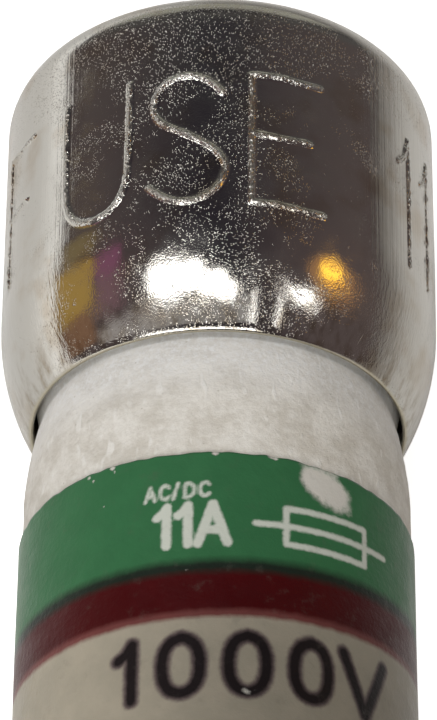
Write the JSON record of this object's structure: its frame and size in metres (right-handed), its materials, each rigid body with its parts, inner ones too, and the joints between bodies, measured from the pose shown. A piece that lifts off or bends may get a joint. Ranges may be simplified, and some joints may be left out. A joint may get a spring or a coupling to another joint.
{
  "type": "cartridge fuse",
  "caption": "Cylindrical cartridge fuse with nickel-plated end ferrules, a glass-melamine tube and a printed wrap label, filled with sand round a notched element.",
  "frame": {"origin": "middle of the fuse, on its axis and halfway between its end faces", "axes": "+Y along the fuse's axis towards the upper ferrule, above the print as it reads; +Z out through the middle of the print; +X to the print's right. The fuse lies on its ferrules"},
  "size_m": [0.0104, 0.0382, 0.0104],
  "materials": {
    "nickel_plate": "bright nickel plate with scratches and pits",
    "glass_melamine": "off-white woven laminate, satin",
    "label_sheet": "off-white printed sheet, worn",
    "vulcanised_fibre": "dull red-brown fibre",
    "silicone": "grey silicone, matt",
    "solder": "dull tin solder",
    "silvered_copper": "silver-plated copper",
    "tin": "frosty cast tin",
    "quartz_sand": "packed quartz grains"
  },
  "bodies": {
    "root": {"upper_ferrule": "nickel_plate", "lower_ferrule": "nickel_plate", "tube": "glass_melamine", "label": "label_sheet", "upper_washer": "vulcanised_fibre", "lower_washer": "vulcanised_fibre", "upper_arc_plug": "silicone", "lower_arc_plug": "silicone", "upper_solder": "solder", "lower_solder": "solder", "left_element": "silvered_copper", "right_element": "silvered_copper", "left_tin_bead": "tin", "right_tin_bead": "tin", "sand_filler": "quartz_sand"}
  },
  "joints": []
}
